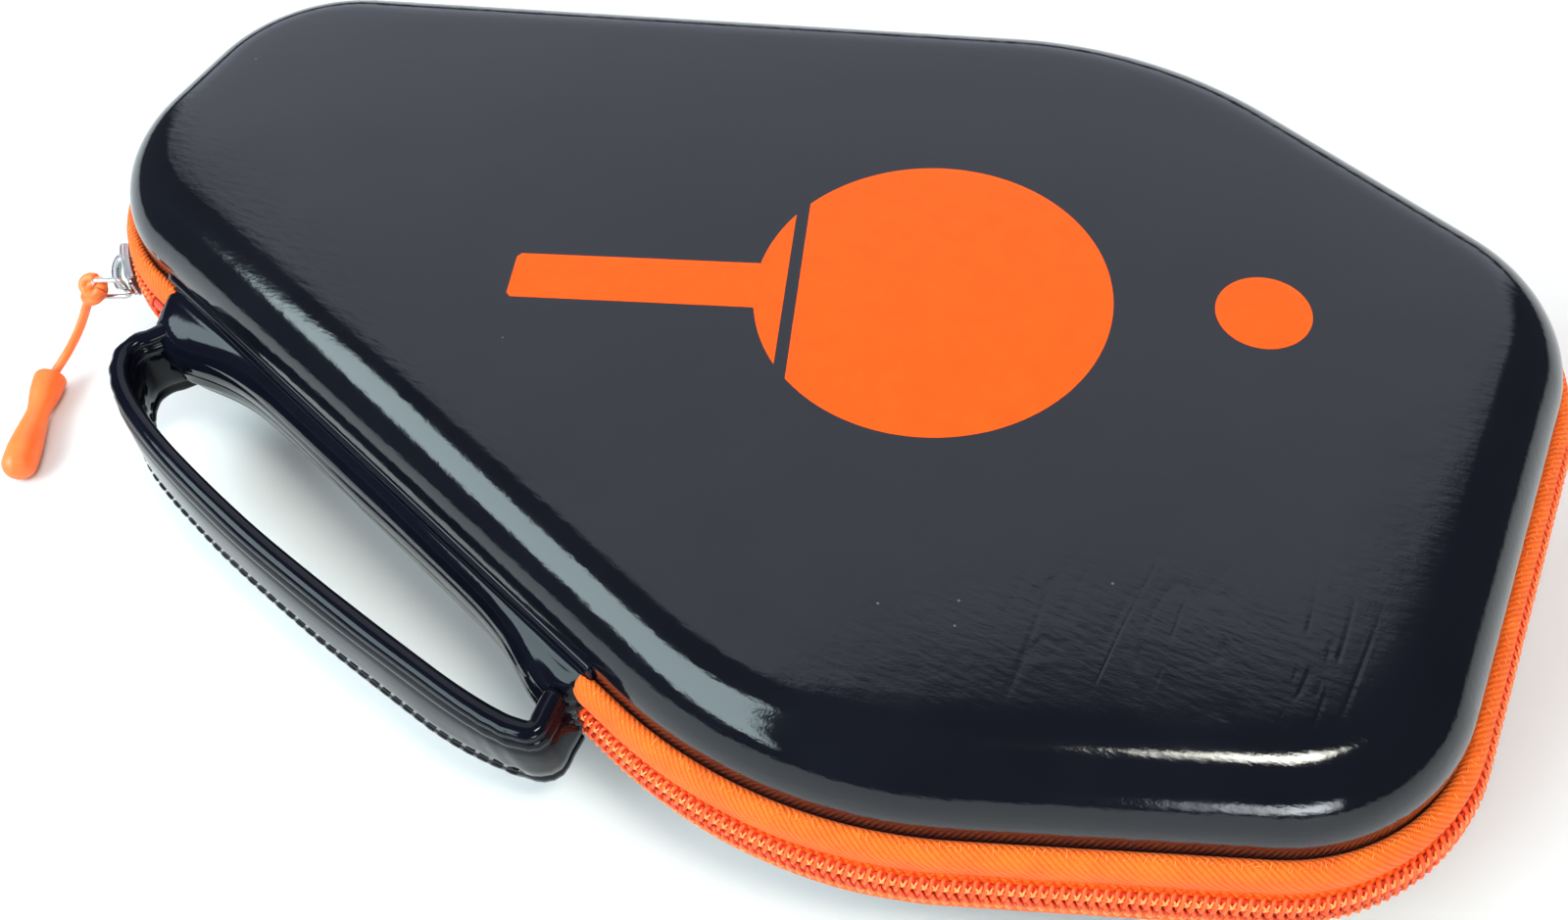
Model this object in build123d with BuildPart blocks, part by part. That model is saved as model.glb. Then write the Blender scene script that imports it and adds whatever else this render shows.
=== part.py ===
"""Hard zip-round case for one table tennis bat, as separate pieces.

Millimetres. +Z is up. The case lies on its base shell: the origin is the middle of
the flat underside, X runs along the case from the narrow end (-X) to the wide end,
and the carrying handle and the fabric hinge are on the long straight edge at -Y.
The base and the lid are mirror images about the zip plane at z = half_height.
"""
import os
from math import atan2, cos, degrees, hypot, radians, sin, tan

from build123d import *

# ---- driving dimensions -------------------------------------------------------------
half_length = 150.0         # outline over the zip, along X
half_height = 26.5          # zip plane above the floor
narrow_half_width = 38.5    # half widths of the six-sided outline at its corners
middle_half_width = 101.0
wide_half_width = 60.0
middle_x = 50.0
narrow_radius = 41.0
middle_radius = 92.0
wide_radius = 40.0

wall_inset = 5.0            # outer wall of a shell, in from the zip outline
wall_thickness = 4.2        # moulded foam with its bonded skin
wall_radius = 13.0          # rounding between wall and flat
lining_thickness = 0.6
rim_gap = 3.4               # rim edge of a shell, from the zip plane

tape_inset = 0.6            # rolled zip tape around each rim
tape_height = 10.5
tape_round = 3.8
coil_inset = 0.2
coil_depth = 2.2
coil_gap = 0.6              # half the slot between the two rows of teeth

binding_thickness = 0.8     # tape bound over the raw rim, inside
binding_flange = 0.6
binding_depth = 11.0

spine_start = 38.0          # along the hinge edge, from the narrow corner point
spine_end = 167.5
end_gap = 0.4               # between the fabric spine and the ends of the zip
stop_length = 1.5
pivot_out = 1.5             # the two fold lines of the spine
pivot_half_height = 9.0
spine_half_height = 8.9
spine_back = -4.4           # measured outward from the zip outline
spine_bulge = 0.8
spine_wall = 1.0
spine_lining_half = 7.6
flap_height = 3.6           # margin of the spine sewn to each shell
flap_thickness = 0.8

handle_axis_out = 4.8
handle_nose = 2.0
handle_top = 8.2            # above and below the zip plane
handle_bottom = -11.0
handle_thickness = 4.0
handle_skin = 1.0
handle_roll_height = 3.2
handle_roll_width = 4.6
handle_min_radius = 3.0
anchor_width = 6.0
anchor_half_height = 6.0
anchor_out = 2.4
left_anchor = 41.0
right_anchor = 164.6

slider_angle = 228.0        # place of the slider on the rounded narrow corner
slider_half_angle = 8.6
slider_half_height = 3.1
plate_gap = 1.4             # between the front plate and the teeth
plate_thickness = 1.2
crown_angle = 234.8
ring_wire = 1.1
ring_half_height = 2.6
ring_reach = 6.5
ring_bend = 1.2
ring_angle = 205.0
loop_radius = 2.1
loop_wire = 1.0

cord_diameter = 2.0
grip_radius = 3.7
grip_length = 28.0

strap_start = -72.0         # elastic strap over the bat's handle
strap_width = 24.0
strap_thickness = 1.0
strap_depth = 6.2
pocket_edge = -20.0         # open edge of the mesh pocket in the lid
pocket_depth = 11.5
mesh_thickness = 0.6
hem_width = 8.0
emblem_thickness = 0.25

# ---- frame of the outline and of the hinge edge ---------------------------------------
corners = [
    (-half_length, -narrow_half_width),
    (middle_x, -middle_half_width),
    (half_length, -wide_half_width),
    (half_length, wide_half_width),
    (middle_x, middle_half_width),
    (-half_length, narrow_half_width),
]
edge_run = middle_x + half_length
edge_drop = middle_half_width - narrow_half_width
edge_length = hypot(edge_run, edge_drop)
along = Vector(edge_run / edge_length, -edge_drop / edge_length, 0)
outward = Vector(along.Y, -along.X, 0)
edge_origin = Vector(-half_length, -narrow_half_width, half_height)

narrow_turn = 90 - degrees(atan2(edge_drop, edge_run))
narrow_tangent = narrow_radius * tan(radians(narrow_turn / 2))
corner_centre = Vector(-half_length + narrow_radius, -narrow_half_width + narrow_tangent, 0)


def edge_point(distance, out, height):
    """Point by its distance along the hinge edge, outward of it, and above the zip plane."""
    return edge_origin + along * distance + outward * out + Vector(0, 0, height)


def edge_plane(distance):
    """Section plane across the hinge edge: local x is outward and local y is up."""
    return Plane(origin=edge_point(distance, 0, 0), x_dir=outward, z_dir=-along)


def outline(inset):
    """Rounded six-sided outline of the case, moved in by inset."""
    with BuildSketch() as sketch:
        with BuildLine():
            Polyline(*corners, close=True)
        make_face()
        for x, radius in (
            (-half_length, narrow_radius),
            (middle_x, middle_radius),
            (half_length, wide_radius),
        ):
            points = sketch.vertices().filter_by_position(Axis.X, x - 1, x + 1)
            fillet(points, radius=radius)
        if inset:
            offset(amount=-inset)
    return sketch.sketch


def tray(inset, floor, top, radius):
    """Solid of the outline between two heights, its lower edge rounded."""
    face = outline(inset)
    with BuildPart() as block:
        with BuildSketch(Plane.XY.offset(floor)):
            add(face)
        extrude(amount=top - floor)
        if radius:
            fillet(block.faces().sort_by(Axis.Z)[0].edges(), radius=radius)
    return block.part


def edge_block(start, end, out_from, out_to, low, high):
    """Box along the hinge edge, its heights measured from the zip plane."""
    with BuildPart() as block:
        with BuildSketch(edge_plane(end)):
            with Locations(((out_from + out_to) / 2, (low + high) / 2)):
                Rectangle(out_to - out_from, high - low)
        extrude(amount=end - start)
    return block.part


def slab(start_x, end_x, low, high):
    """Box across the whole case between two places along X and two heights."""
    with BuildPart() as block:
        with BuildSketch(Plane.XY.offset(low)):
            with Locations(((start_x + end_x) / 2, 0)):
                Rectangle(end_x - start_x, 3 * half_length)
        extrude(amount=high - low)
    return block.part


def finish(piece, label):
    """Name a piece and write it."""
    piece.label = label
    export_step(piece, f"parts/{label}.step")
    print(f"{label}: volume {piece.volume:.0f}, valid {piece.is_valid}")


def finish_pair(piece, name):
    """Write a piece of the base and its mirror image in the lid."""
    finish(piece, f"base_{name}")
    with BuildPart() as twin:
        mirror(piece, about=Plane.XY.offset(half_height))
    finish(twin.part, f"lid_{name}")


os.makedirs("parts", exist_ok=True)

# ---- shells and linings ----------------------------------------------------------------
rim_z = half_height - rim_gap
inner_inset = wall_inset + wall_thickness
lining_inset = inner_inset + lining_thickness
lining_floor = wall_thickness + lining_thickness
inner_radius = wall_radius - wall_thickness
lining_radius = inner_radius - lining_thickness

shell_outside = tray(wall_inset, 0, rim_z, wall_radius)
shell_inside = tray(inner_inset, wall_thickness, rim_z, inner_radius)
lining_inside = tray(lining_inset, lining_floor, rim_z, lining_radius)

with BuildPart() as shell:
    add(shell_outside)
    add(shell_inside, mode=Mode.SUBTRACT)
finish_pair(shell.part, "shell")

with BuildPart() as lining:
    add(shell_inside)
    add(lining_inside, mode=Mode.SUBTRACT)
finish_pair(lining.part, "lining")

# ---- zip: rolled tape, teeth, end stops and inner binding -----------------------------------
zip_start = spine_start - end_gap
zip_end = spine_end + end_gap
spine_room = edge_block(zip_start, zip_end, -8, 8, -half_height, half_height)
coil_room = edge_block(
    zip_start - stop_length, zip_end + stop_length, -8, 8, -half_height, half_height
)
tape_low = half_height - tape_height
coil_top = half_height - coil_gap

with BuildPart() as zip_tape:
    add(tray(tape_inset, tape_low, rim_z, tape_round))
    add(tray(wall_inset, tape_low, rim_z, 0), mode=Mode.SUBTRACT)
    add(spine_room, mode=Mode.SUBTRACT)
finish_pair(zip_tape.part, "zip_tape")

with BuildPart() as zip_coil:
    add(tray(coil_inset, rim_z, coil_top, 0))
    add(tray(coil_inset + coil_depth, rim_z, coil_top, 0), mode=Mode.SUBTRACT)
    add(coil_room, mode=Mode.SUBTRACT)
finish_pair(zip_coil.part, "zip_coil")

with BuildPart() as zip_stops:
    for start in (zip_start - stop_length, zip_end):
        add(
            edge_block(
                start, start + stop_length, -coil_inset - coil_depth, -coil_inset,
                -rim_gap, -coil_gap,
            )
        )
finish_pair(zip_stops.part, "zip_stops")

binding_inset = lining_inset + binding_flange
with BuildPart() as rim_binding:
    add(tray(wall_inset, rim_z, rim_z + binding_thickness, 0))
    add(tray(lining_inset, half_height - binding_depth, rim_z + binding_thickness, 0))
    add(
        tray(binding_inset, half_height - binding_depth, rim_z + binding_thickness, 0),
        mode=Mode.SUBTRACT,
    )
finish_pair(rim_binding.part, "rim_binding")

flap_end_gap = 0.6
with BuildPart() as spine_flap:
    add(
        edge_block(
            spine_start + flap_end_gap, spine_end - flap_end_gap,
            -wall_inset, -wall_inset + flap_thickness,
            -pivot_half_height - end_gap - flap_height, -pivot_half_height - end_gap,
        )
    )
finish_pair(spine_flap.part, "spine_flap")

# ---- inside: elastic strap in the base, mesh pocket in the lid -------------------------------
strap_top = half_height - strap_depth
with BuildPart() as retaining_strap:
    add(tray(binding_inset, strap_top - strap_thickness, strap_top, 0))
    add(
        slab(strap_start, strap_start + strap_width, 0, half_height),
        mode=Mode.INTERSECT,
    )
finish(retaining_strap.part, "retaining_strap")

tack_inset = 0.3
tack_width = 3.0
tack_height = 0.4
with BuildPart() as strap_bartacks:
    add(tray(binding_inset + tack_inset, strap_top, strap_top + tack_height, 0))
    add(
        tray(binding_inset + tack_inset + tack_width, strap_top, strap_top + tack_height, 0),
        mode=Mode.SUBTRACT,
    )
    add(
        slab(strap_start + 2, strap_start + strap_width - 2, 0, half_height),
        mode=Mode.INTERSECT,
    )
finish(strap_bartacks.part, "strap_bartacks")

mesh_low = half_height + pocket_depth
hem_low = mesh_low - 0.5
with BuildPart() as pocket_mesh:
    add(tray(lining_inset, mesh_low, mesh_low + mesh_thickness, 0))
    add(
        slab(pocket_edge + hem_width / 2, half_length, half_height, 2 * half_height),
        mode=Mode.INTERSECT,
    )
finish(pocket_mesh.part, "pocket_mesh")

with BuildPart() as pocket_hem:
    add(tray(lining_inset, hem_low, hem_low + 1.6, 0))
    add(
        slab(
            pocket_edge - hem_width / 2, pocket_edge + hem_width / 2,
            half_height, 2 * half_height,
        ),
        mode=Mode.INTERSECT,
    )
finish(pocket_hem.part, "pocket_hem")

# ---- lid emblem: a plain bat and ball ----------------------------------------------------------
blade_radius = 33.0
blade_centre = (36, 4)
bat_turn = 20.5
grip_end = 80.0             # end of the printed handle, from the blade's centre
shoulder = 26.0             # slit between the blade and its handle, from the blade's centre
with BuildPart() as lid_emblem:
    with BuildSketch(Plane.XY.offset(2 * half_height)):
        with Locations(Location((*blade_centre, 0), (0, 0, bat_turn))):
            Circle(blade_radius)
            with Locations((-(grip_end + shoulder) / 2, 0)):
                Rectangle(grip_end - shoulder, 11)
            with Locations((-shoulder, 0)):
                Rectangle(2.4, 2 * blade_radius, mode=Mode.SUBTRACT)
        with Locations((92, 24)):
            Circle(8.5)
    extrude(amount=emblem_thickness)
finish(lid_emblem.part, "lid_emblem")

# ---- fabric spine: cover, filler and lining -----------------------------------------------------
spine_length = spine_end - spine_start
filler_back = spine_back + lining_thickness
filler_front = spine_bulge - spine_wall

with BuildPart() as spine_cover:
    with BuildSketch(edge_plane(spine_end)):
        with BuildLine():
            ThreePointArc(
                (spine_back, spine_half_height),
                (spine_bulge, 0),
                (spine_back, -spine_half_height),
            )
            Polyline(
                (spine_back, -spine_half_height),
                (spine_back, -spine_lining_half),
                (filler_back, -spine_lining_half),
            )
            ThreePointArc(
                (filler_back, -spine_lining_half),
                (filler_front, 0),
                (filler_back, spine_lining_half),
            )
            Polyline(
                (filler_back, spine_lining_half),
                (spine_back, spine_lining_half),
                (spine_back, spine_half_height),
            )
        make_face()
    extrude(amount=spine_length)
finish(spine_cover.part, "spine_cover")

with BuildPart() as spine_filler:
    with BuildSketch(edge_plane(spine_end)):
        with BuildLine():
            ThreePointArc(
                (filler_back, -spine_lining_half),
                (filler_front, 0),
                (filler_back, spine_lining_half),
            )
            Line((filler_back, spine_lining_half), (filler_back, -spine_lining_half))
        make_face()
    extrude(amount=spine_length)
finish(spine_filler.part, "spine_filler")

with BuildPart() as spine_lining:
    add(
        edge_block(
            spine_start, spine_end, spine_back, filler_back,
            -spine_lining_half, spine_lining_half,
        )
    )
finish(spine_lining.part, "spine_lining")

# ---- handle: two end tabs on the spine, and the layered strap ---------------------------------------
sagitta = spine_bulge - spine_back
cover_radius = (sagitta**2 + spine_half_height**2) / (2 * sagitta)

for label, place in (("left_handle_tab", left_anchor), ("right_handle_tab", right_anchor)):
    with BuildPart() as handle_tab:
        with BuildSketch(edge_plane(place + anchor_width / 2)):
            with Locations(((anchor_out + spine_back) / 2, 0)):
                Rectangle(anchor_out - spine_back, 2 * anchor_half_height)
            with Locations((spine_bulge - cover_radius, 0)):
                Circle(cover_radius, mode=Mode.SUBTRACT)
        extrude(amount=anchor_width)
        outer_edges = handle_tab.edges().filter_by(Axis(edge_origin, along))
        fillet(outer_edges.sort_by(Axis(edge_origin, outward))[-2:], radius=1.2)
    finish(handle_tab.part, label)

# centre line of the strap: along the hinge edge, and outward of it
strap_route = [
    (41.4, 4.8),
    (39.4, 8.6),
    (40.4, 13.0),
    (47.0, 17.2),
    (60.0, 19.4),
    (84.0, 19.8),
    (110.0, 18.2),
    (136.0, 15.2),
    (160.0, 12.0),
    (169.0, 8.4),
    (165.4, 4.8),
]


def arc_radii(points, share=0.45):
    """Radius of the arc at each inner point: as large as its two runs allow."""
    radii = []
    for before, here, after in zip(points, points[1:], points[2:]):
        run_in = here - before
        run_out = after - here
        half_turn = radians(run_in.get_angle(run_out)) / 2
        radii.append(share * min(run_in.length, run_out.length) / tan(half_turn))
    return radii


handle_points = [edge_point(distance, out, 0) for distance, out in strap_route]
handle_radii = [max(radius, handle_min_radius) for radius in arc_radii(handle_points)]
with BuildLine() as handle_line:
    FilletPolyline(*handle_points, radius=handle_radii)
handle_path = handle_line.wires()[0]
print("handle centre line", round(handle_path.length, 1))
handle_start = Plane(
    origin=handle_path @ 0, x_dir=(0, 0, 1), z_dir=handle_path % 0
)
side = edge_plane(spine_end + 20)
side_span = spine_end - spine_start + 40


def handle_layer(label, across_from, across_to, low, high, round_radius=0):
    """One layer of the strap, swept along it, narrowed to the two pivots."""
    with BuildPart() as layer:
        with BuildSketch(handle_start):
            with Locations(((low + high) / 2, (across_from + across_to) / 2)):
                if round_radius:
                    RectangleRounded(high - low, across_to - across_from, round_radius)
                else:
                    Rectangle(high - low, across_to - across_from)
        sweep(path=handle_path)
        with BuildSketch(side):
            with BuildLine():
                Polyline(
                    (handle_axis_out, handle_nose),
                    (handle_axis_out + 7.5, handle_top + 0.1),
                    (handle_axis_out + 25, handle_top + 0.1),
                    (handle_axis_out + 25, handle_bottom - 0.1),
                    (handle_axis_out + 10.7, handle_bottom - 0.1),
                    (handle_axis_out, -handle_nose),
                    close=True,
                )
            make_face()
            with Locations((handle_axis_out, 0)):
                Circle(handle_nose)
        extrude(amount=side_span, mode=Mode.INTERSECT)
    finish(layer.part, label)


roll_low = handle_top - handle_roll_height
core_half = handle_thickness / 2 - handle_skin
handle_layer("handle_core", -core_half, core_half, handle_bottom + 0.8, roll_low)
handle_layer("handle_outer_face", -core_half - handle_skin, -core_half, handle_bottom, roll_low)
handle_layer("handle_inner_face", core_half, core_half + handle_skin, handle_bottom, roll_low)
handle_layer(
    "handle_edge_roll", -handle_roll_width / 2, handle_roll_width / 2, roll_low, handle_top, 1.4
)


# ---- slider, its crown and the pull ring ---------------------------------------------------------
def corner_sector(radius_in, radius_out, start, end, low, high):
    """Block of a ring around the narrow corner's centre, angles in degrees."""
    with BuildPart() as block:
        with BuildSketch(Plane.XY.offset(half_height + low)):
            with BuildLine():
                CenterArc(corner_centre, radius_in, start, end - start)
                CenterArc(corner_centre, radius_out, start, end - start)
                for angle in (start, end):
                    ray = Vector(cos(radians(angle)), sin(radians(angle)), 0)
                    Line(corner_centre + ray * radius_in, corner_centre + ray * radius_out)
            make_face()
        extrude(amount=high - low)
    return block.part


coil_face = narrow_radius - coil_inset
plate_face = coil_face + plate_gap
plate_outside = plate_face + plate_thickness
back_outside = coil_face - coil_depth - 0.3
back_inside = back_outside - 1.0
slider_from = slider_angle - slider_half_angle
slider_to = slider_angle + slider_half_angle
post_half_height = coil_gap - 0.1

with BuildPart() as slider_body:
    add(
        corner_sector(
            plate_face, plate_outside, slider_from, slider_to,
            -slider_half_height, slider_half_height,
        )
    )
    add(
        corner_sector(
            back_inside, back_outside, slider_from, slider_to,
            -slider_half_height, slider_half_height,
        )
    )
    add(
        corner_sector(
            back_outside, plate_face, slider_from, slider_from + 4,
            -post_half_height, post_half_height,
        )
    )
finish(slider_body.part, "slider_body")

ring_radius = ring_wire / 2
ring_seat = plate_outside + 0.3 + ring_radius
crown_inside = ring_seat + ring_radius + 0.3
crown_outside = crown_inside + 0.9
crown_half_height = 1.3
crown_from = slider_from + 2
crown_to = crown_angle + 2.6
with BuildPart() as slider_crown:
    add(
        corner_sector(
            plate_outside, crown_outside, crown_from, crown_to,
            -crown_half_height, crown_half_height,
        )
    )
    add(
        corner_sector(
            plate_outside, crown_inside, crown_from + 3, crown_to - 1.2,
            -crown_half_height, crown_half_height,
        ),
        mode=Mode.SUBTRACT,
    )
finish(slider_crown.part, "slider_crown")

crown_ray = Vector(cos(radians(crown_angle)), sin(radians(crown_angle)), 0)
pivot = corner_centre + crown_ray * ring_seat + Vector(0, 0, half_height)
ring_ray = Vector(cos(radians(ring_angle)), sin(radians(ring_angle)), 0)
ring_far = pivot + ring_ray * ring_reach
lift = Vector(0, 0, ring_half_height)
print("pull pivot", pivot, "corner centre", corner_centre)

with BuildPart() as pull_ring:
    with BuildLine() as ring_line:
        FilletPolyline(
            pivot + lift, ring_far + lift, ring_far - lift, pivot - lift,
            radius=ring_bend, close=True,
        )
    ring_wire_path = ring_line.wires()[0]
    with BuildSketch(Plane(origin=ring_wire_path @ 0, z_dir=ring_wire_path % 0)):
        Circle(ring_radius)
    sweep(path=ring_wire_path)
finish(pull_ring.part, "pull_ring")

# ---- soft puller: loop round the ring, cord and moulded grip ---------------------------------------
with BuildPart() as puller_loop:
    with Locations(ring_far):
        Torus(loop_radius, loop_wire)
finish(puller_loop.part, "puller_loop")

grip_height = grip_radius + 0.05
grip_top = Vector(-155.4, -61.6, grip_height)
grip_turn = 297.8           # heading of the grip in plan
grip_axis = Vector(cos(radians(grip_turn)), sin(radians(grip_turn)), 0)
cord_in_grip = 4.0
cord_points = [
    Vector(-142.2, -48.4, 25.4),
    Vector(-145.6, -50.0, 19.6),
    Vector(-150.2, -52.3, 12.4),
    Vector(-154.3, -56.0, 6.2),
    grip_top,
    grip_top + grip_axis * cord_in_grip,
]
cord_radii = arc_radii(cord_points)
print("cord radii", [round(radius, 1) for radius in cord_radii])
with BuildPart() as puller_cord:
    with BuildLine() as cord_line:
        FilletPolyline(*cord_points, radius=cord_radii)
    cord_wire = cord_line.wires()[0]
    with BuildSketch(Plane(origin=cord_wire @ 0, z_dir=cord_wire % 0)):
        Circle(cord_diameter / 2)
    sweep(path=cord_wire)
finish(puller_cord.part, "puller_cord")
print("cord length", round(cord_wire.length, 1))

collar_radius = 3.5
waist_radius = 2.3
grip_plane = Plane(origin=grip_top, x_dir=(0, 0, 1), z_dir=Vector(0, 0, 1).cross(grip_axis))
with BuildPart() as puller_grip:
    with BuildSketch(grip_plane) as grip_profile:
        with BuildLine():
            Polyline((0, 0), (collar_radius, 0), (collar_radius, 3.0))
            Spline(
                (collar_radius, 3.0),
                (waist_radius, 12.0),
                (grip_radius, 23.0),
                (0, grip_length),
                tangents=((-0.3, 1), (-1, 0)),
            )
            Line((0, grip_length), (0, 0))
        make_face()
    revolve(axis=Axis(grip_top, grip_axis))
finish(puller_grip.part, "puller_grip")
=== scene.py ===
"""Looks of a hard zip-round table tennis bat case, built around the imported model.

Objects are in metres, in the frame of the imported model. Sizes in this script are in
millimetres until make_mesh turns them into metres, and they repeat the driving
dimensions of the model. The lid mirrors the base about the zip plane.
"""

import math
import random

import bmesh
import bpy
from mathutils import Matrix, Vector, noise
from mathutils.kdtree import KDTree


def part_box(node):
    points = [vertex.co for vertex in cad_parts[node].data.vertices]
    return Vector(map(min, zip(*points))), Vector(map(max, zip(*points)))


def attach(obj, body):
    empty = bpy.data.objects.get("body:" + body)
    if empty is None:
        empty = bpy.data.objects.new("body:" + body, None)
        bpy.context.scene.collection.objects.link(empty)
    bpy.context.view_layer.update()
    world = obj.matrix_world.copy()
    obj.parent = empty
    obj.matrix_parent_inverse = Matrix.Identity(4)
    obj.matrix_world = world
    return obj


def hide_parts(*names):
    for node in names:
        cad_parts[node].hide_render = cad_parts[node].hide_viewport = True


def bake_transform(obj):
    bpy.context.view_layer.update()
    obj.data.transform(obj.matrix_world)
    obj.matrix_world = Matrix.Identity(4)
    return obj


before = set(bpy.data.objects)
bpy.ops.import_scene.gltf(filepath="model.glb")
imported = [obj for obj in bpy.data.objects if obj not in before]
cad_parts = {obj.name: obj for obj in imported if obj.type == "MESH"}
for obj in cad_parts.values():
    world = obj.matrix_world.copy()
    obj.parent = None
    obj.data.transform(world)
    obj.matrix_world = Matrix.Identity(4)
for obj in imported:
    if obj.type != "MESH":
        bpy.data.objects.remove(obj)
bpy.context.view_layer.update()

MM = 0.001
HALVES = (("base", False), ("lid", True))
random.seed(7)

# ---- driving dimensions, millimetres ----
half_length = 150.0
zip_z = 26.5
narrow_half_width = 38.5
middle_half_width = 101.0
wide_half_width = 60.0
middle_x = 50.0
narrow_radius = 41.0
middle_radius = 92.0
wide_radius = 40.0

wall_inset = 5.0
wall_thickness = 4.2
wall_radius = 13.0
rim_gap = 3.4               # rim edge of a shell, from the zip plane
crown_drop = 1.2            # how far a panel's edge lies below its middle
lining_inset = 9.8
lining_floor = 4.8
lining_radius = 8.2

spine_start = 38.0
spine_end = 167.5
zip_start = 37.6            # ends of the chain, along the hinge edge
zip_end = 167.9
spine_wall_height = 13.4    # where the spine meets a shell's wall, from the zip plane

wall_face = -4.9            # where fabric meets a shell's wall, out from the zip outline

slider_angle = 228.0
slider_half_angle = 8.6
crown_angle = 234.8


# ---- the zip outline ----
class Rim:
    """The rounded six-sided outline of the zip, by distance along it from the narrow corner."""

    def __init__(self, corners):
        self.parts = []
        count = len(corners)
        bends = []
        for index, (x, y, radius) in enumerate(corners):
            here = Vector((x, y))
            arriving = (here - Vector(corners[index - 1][:2])).normalized()
            leaving = (Vector(corners[(index + 1) % count][:2]) - here).normalized()
            turn = arriving.angle(leaving)
            bends.append((here, arriving, leaving, turn, radius, radius * math.tan(turn / 2)))
        self.start = bends[0][5]
        for index, bend in enumerate(bends):
            following = bends[(index + 1) % count]
            begin = bend[0] + bend[2] * bend[5]
            end = following[0] - following[1] * following[5]
            self.parts.append(("run", (end - begin).length, begin, bend[2], 0.0))
            self.parts.append(("arc", following[3] * following[4], end, following[1], following[4]))
        self.length = sum(part[1] for part in self.parts)

    def at(self, distance):
        """Point on the outline and its outward direction."""
        rest = (distance - self.start) % self.length
        for kind, length, begin, heading, radius in self.parts:
            if rest > length:
                rest -= length
                continue
            outward = Vector((heading.y, -heading.x))
            if kind == "run":
                return begin + heading * rest, outward
            centre = begin - outward * radius
            turned = Matrix.Rotation(rest / radius, 2) @ outward
            return centre + turned * radius, turned
        return begin, outward

    def point(self, distance, out, z):
        """Point out from the outline, at a height above the ground."""
        place, outward = self.at(distance)
        moved = place + outward * out
        return Vector((moved.x, moved.y, z))


rim = Rim([
    (-half_length, -narrow_half_width, narrow_radius),
    (middle_x, -middle_half_width, middle_radius),
    (half_length, -wide_half_width, wide_radius),
    (half_length, wide_half_width, wide_radius),
    (middle_x, middle_half_width, middle_radius),
    (-half_length, narrow_half_width, narrow_radius),
])
edge_along = Vector((middle_x + half_length, narrow_half_width - middle_half_width, 0)).normalized()
edge_outward = Vector((edge_along.y, -edge_along.x, 0))
edge_origin = Vector((-half_length, -narrow_half_width, zip_z))
corner_centre = Vector((-half_length + narrow_radius, -narrow_half_width + rim.start, 0))
chain_length = rim.length + zip_start - zip_end


def edge_point(distance, out, height):
    """Point by its distance along the hinge edge, outward of it, and above the zip plane."""
    return edge_origin + edge_along * distance + edge_outward * out + Vector((0, 0, height))


def spaced(start, end, step, both=True):
    """Evenly spaced numbers from start to end, about step apart."""
    count = max(1, round((end - start) / step))
    return [start + (end - start) * i / count for i in range(count + (1 if both else 0))]


def smoothstep(low, high, value):
    t = min(1.0, max(0.0, (value - low) / (high - low)))
    return t * t * (3 - 2 * t)


def sky_direction(turn, height):
    """Direction by degrees from +X towards +Y, and degrees above the horizon."""
    a = math.radians(turn)
    e = math.radians(height)
    return Vector((math.cos(a) * math.cos(e), math.sin(a) * math.cos(e), math.sin(e)))


def bump_at(value, centre, width):
    """Smooth bump of height 1."""
    return math.exp(-(((value - centre) / width) ** 2))


rim_samples = spaced(rim.start, rim.start + rim.length, 1.0, both=False)
rim_tree = KDTree(len(rim_samples))
for sample_index, sample in enumerate(rim_samples):
    sample_place, _ = rim.at(sample)
    rim_tree.insert(Vector((sample_place.x, sample_place.y, 0)), sample_index)
rim_tree.balance()


def inset_of(x, y):
    """Distance of a point inside the outline from it."""
    return rim_tree.find(Vector((x, y, 0)))[2]


def panel_z(inset):
    """Height of the lid's outer skin at a distance in from the zip outline."""
    top = 2 * zip_z - crown_drop * math.exp(-(inset - wall_inset) / 22)
    reach = wall_inset + wall_radius - inset
    if reach <= 0:
        return top
    return top - wall_radius + math.sqrt(max(0.0, wall_radius**2 - reach**2))


# ---- making meshes ----
def add_object(name, data):
    obj = bpy.data.objects.new(name, data)
    bpy.context.scene.collection.objects.link(obj)
    return obj


def make_mesh(name, points, faces, uvs=None):
    """Smooth-shaded mesh object. Points are in millimetres, and UVs in millimetres of surface."""
    mesh = bpy.data.meshes.new(name)
    mesh.from_pydata([Vector(p) * MM for p in points], [], faces)
    if uvs:
        layer = mesh.uv_layers.new(name="UVMap")
        for loop in mesh.loops:
            layer.data[loop.index].uv = uvs[loop.vertex_index]
    mesh.polygons.foreach_set("use_smooth", [True] * len(mesh.polygons))
    return add_object(name, mesh)


def outside_out(obj):
    """Turn all faces of a closed mesh to the outside."""
    work = bmesh.new()
    work.from_mesh(obj.data)
    bmesh.ops.recalc_face_normals(work, faces=work.faces)
    work.to_mesh(obj.data)
    work.free()
    return obj


def grid_faces(height, width, close_rows=False, close_columns=False):
    """Faces between neighbouring points of rows."""
    faces = []
    for i in range(height if close_rows else height - 1):
        for j in range(width if close_columns else width - 1):
            here, following = i * width, (i + 1) % height * width
            beside = (j + 1) % width
            faces.append((here + j, here + beside, following + beside, following + j))
    return faces


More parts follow.
